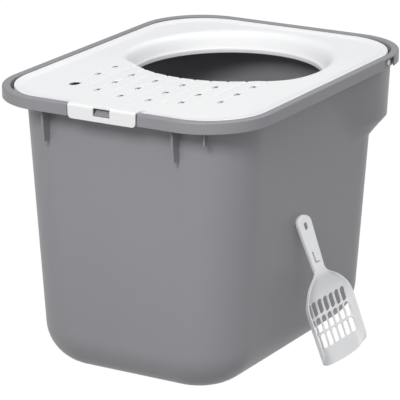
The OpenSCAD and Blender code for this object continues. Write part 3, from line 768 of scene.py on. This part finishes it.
# ---------------------------------------------------------------------------------------------
# Materials
# ---------------------------------------------------------------------------------------------
def plastic(name, colour, shade_colour, roughness, grain=0.08):
    """Satin moulded plastic: fine grain, faint mottling and slightly uneven gloss."""
    mat = bpy.data.materials.new(name)
    mat.use_nodes = True
    nodes, links = mat.node_tree.nodes, mat.node_tree.links
    bsdf = nodes["Principled BSDF"]
    bsdf.inputs["IOR"].default_value = 1.49
    coords = nodes.new("ShaderNodeTexCoord")

    cloud = nodes.new("ShaderNodeTexNoise")
    cloud.inputs["Scale"].default_value = 7.0
    cloud.inputs["Detail"].default_value = 3.0
    links.new(coords.outputs["Object"], cloud.inputs["Vector"])
    speck = nodes.new("ShaderNodeTexNoise")
    speck.inputs["Scale"].default_value = 900.0
    speck.inputs["Detail"].default_value = 2.0
    links.new(coords.outputs["Object"], speck.inputs["Vector"])
    blend = nodes.new("ShaderNodeMath")
    blend.operation = "MULTIPLY_ADD"
    blend.inputs[1].default_value = 0.25
    links.new(speck.outputs["Fac"], blend.inputs[0])
    links.new(cloud.outputs["Fac"], blend.inputs[2])
    ramp = nodes.new("ShaderNodeValToRGB")
    ramp.color_ramp.elements[0].position = 0.35
    ramp.color_ramp.elements[0].color = (*shade_colour, 1)
    ramp.color_ramp.elements[1].position = 0.85
    ramp.color_ramp.elements[1].color = (*colour, 1)
    links.new(blend.outputs[0], ramp.inputs["Fac"])
    links.new(ramp.outputs["Color"], bsdf.inputs["Base Color"])

    gloss = nodes.new("ShaderNodeMapRange")
    gloss.inputs["To Min"].default_value = roughness - 0.05
    gloss.inputs["To Max"].default_value = roughness + 0.07
    links.new(cloud.outputs["Fac"], gloss.inputs["Value"])
    links.new(gloss.outputs["Result"], bsdf.inputs["Roughness"])

    grain_noise = nodes.new("ShaderNodeTexNoise")
    grain_noise.inputs["Scale"].default_value = 1400.0
    grain_noise.inputs["Detail"].default_value = 1.0
    links.new(coords.outputs["Object"], grain_noise.inputs["Vector"])
    bump = nodes.new("ShaderNodeBump")
    bump.inputs["Strength"].default_value = grain
    bump.inputs["Distance"].default_value = 0.0002
    links.new(grain_noise.outputs["Fac"], bump.inputs["Height"])
    links.new(bump.outputs["Normal"], bsdf.inputs["Normal"])
    return mat


grey = plastic("grey_plastic", (0.292, 0.289, 0.309), (0.276, 0.273, 0.293), 0.40)
white = plastic("white_plastic", (0.885, 0.884, 0.886), (0.860, 0.859, 0.862), 0.38)
# The scoop's white is its own colour, painted lighter than the lid's white: painted light that stands in for
# the extra light the scoop gets.
painted_light_white = plastic("painted_light_white_plastic", (0.935, 0.935, 0.938), (0.910, 0.910, 0.914), 0.36)

for build, body, node, mat, slot in (
    (build_tub, "tub", "tub", grey, "tub_plastic"),
    (build_lid, "lid", "lid", white, "lid_plastic"),
    (build_latch, "latch", "latch_tab", white, "lid_plastic"),
    (build_scoop, "scoop", "scoop", painted_light_white, "scoop_plastic"),
):
    piece = build()
    even_normals(piece)
    piece.data.materials.clear()
    piece.data.materials.append(mat)
    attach(piece, body)
    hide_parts(node)
    frame["nodes"][node].data.materials.clear()
    frame["nodes"][node].data.materials.append(mat)

# ---------------------------------------------------------------------------------------------
# Floor, background, lights and camera
# ---------------------------------------------------------------------------------------------
floor_half = 6000
floor_colour, floor_glow, floor_share = (0.32, 0.32, 0.32, 1), 1.05, 0.95
fill_colour, fill_left, fill_right = (0.97, 0.985, 1, 1), 0.28, 0.66
WHITE = (1, 1, 1, 1)


def floor_material():
    """A matt floor that keeps the shadow, and shows nearly white to the camera and in reflections."""
    mat = bpy.data.materials.new("floor")
    mat.use_nodes = True
    nodes, links = mat.node_tree.nodes, mat.node_tree.links
    nodes.clear()
    out = nodes.new("ShaderNodeOutputMaterial")
    diffuse = nodes.new("ShaderNodeBsdfDiffuse")
    diffuse.inputs["Color"].default_value = floor_colour
    glow = nodes.new("ShaderNodeEmission")
    glow.inputs["Color"].default_value = WHITE
    glow.inputs["Strength"].default_value = floor_glow
    path = nodes.new("ShaderNodeLightPath")
    most = nodes.new("ShaderNodeMath")
    most.operation = "MAXIMUM"
    links.new(path.outputs["Is Camera Ray"], most.inputs[0])
    links.new(path.outputs["Is Glossy Ray"], most.inputs[1])
    share = nodes.new("ShaderNodeMath")
    share.operation = "MULTIPLY"
    share.inputs[1].default_value = floor_share
    links.new(most.outputs[0], share.inputs[0])
    blend = nodes.new("ShaderNodeMixShader")
    links.new(share.outputs[0], blend.inputs["Fac"])
    links.new(diffuse.outputs[0], blend.inputs[1])
    links.new(glow.outputs[0], blend.inputs[2])
    links.new(blend.outputs[0], out.inputs["Surface"])
    return mat


def studio_world():
    """White to the camera; to the object a soft fill that is dimmer from the left."""
    world = bpy.data.worlds.new("studio")
    world.use_nodes = True
    nodes, links = world.node_tree.nodes, world.node_tree.links
    nodes.clear()
    out = nodes.new("ShaderNodeOutputWorld")
    seen = nodes.new("ShaderNodeBackground")
    seen.inputs["Color"].default_value = WHITE
    seen.inputs["Strength"].default_value = 1.0
    fill = nodes.new("ShaderNodeBackground")
    fill.inputs["Color"].default_value = fill_colour
    coords = nodes.new("ShaderNodeTexCoord")
    split = nodes.new("ShaderNodeSeparateXYZ")
    links.new(coords.outputs["Generated"], split.inputs[0])
    level = nodes.new("ShaderNodeMapRange")
    level.inputs["From Min"].default_value = -1
    level.inputs["To Min"].default_value = fill_left
    level.inputs["To Max"].default_value = fill_right
    links.new(split.outputs["X"], level.inputs["Value"])
    links.new(level.outputs["Result"], fill.inputs["Strength"])
    path = nodes.new("ShaderNodeLightPath")
    blend = nodes.new("ShaderNodeMixShader")
    links.new(path.outputs["Is Camera Ray"], blend.inputs["Fac"])
    links.new(fill.outputs[0], blend.inputs[1])
    links.new(seen.outputs[0], blend.inputs[2])
    links.new(blend.outputs[0], out.inputs["Surface"])
    return world


def softbox(name, place, target, size, power):
    """A soft area light at a place, turned to a target, in metres and watts."""
    light = bpy.data.lights.new(name, "AREA")
    light.shape = "RECTANGLE"
    light.size, light.size_y = size
    light.energy = power
    obj = bpy.data.objects.new(name, light)
    bpy.context.scene.collection.objects.link(obj)
    obj.location = place
    obj.rotation_euler = (Vector(target) - Vector(place)).to_track_quat("-Z", "Y").to_euler()


def add_camera(place, turn, sensor, lens, far):
    """A camera at a place in metres, turned by yaw, pitch down and roll in degrees."""
    camera = bpy.data.objects.new("camera", bpy.data.cameras.new("camera"))
    bpy.context.scene.collection.objects.link(camera)
    camera.data.sensor_width = sensor
    camera.data.lens = lens
    camera.data.clip_end = far
    yaw, pitch, roll = [math.radians(a) for a in turn]
    view = Vector((-math.sin(yaw) * math.cos(pitch), math.cos(yaw) * math.cos(pitch), -math.sin(pitch)))
    right = Vector((math.cos(yaw), math.sin(yaw), 0))
    up = right.cross(view)
    right, up = math.cos(roll) * right + math.sin(roll) * up, -math.sin(roll) * right + math.cos(roll) * up
    camera.matrix_world = Matrix.Translation(place) @ Matrix((right, up, -view)).transposed().to_4x4()
    return camera


floor_corners = rectangle(-floor_half, floor_half, -floor_half, floor_half)
floor = make_object("floor", [(x, y, 0) for x, y in floor_corners], [(0, 1, 2, 3)])
floor.data.materials.append(floor_material())
bpy.context.scene.world = studio_world()

middle = (0, 0, 0.2)
softbox("overhead", (0.2, 0.8, 2.4), middle, size=(2.4, 2.4), power=22.5)
softbox("front", (0.4, -2.6, 2.1), middle, size=(0.9, 0.9), power=57)
bpy.context.scene.camera = add_camera(
    (1.91375, -3.16207, 1.36591), (31.312, 17.502, -0.592), sensor=36, lens=250.1586, far=50
)

bpy.context.scene.view_settings.view_transform = "Standard"
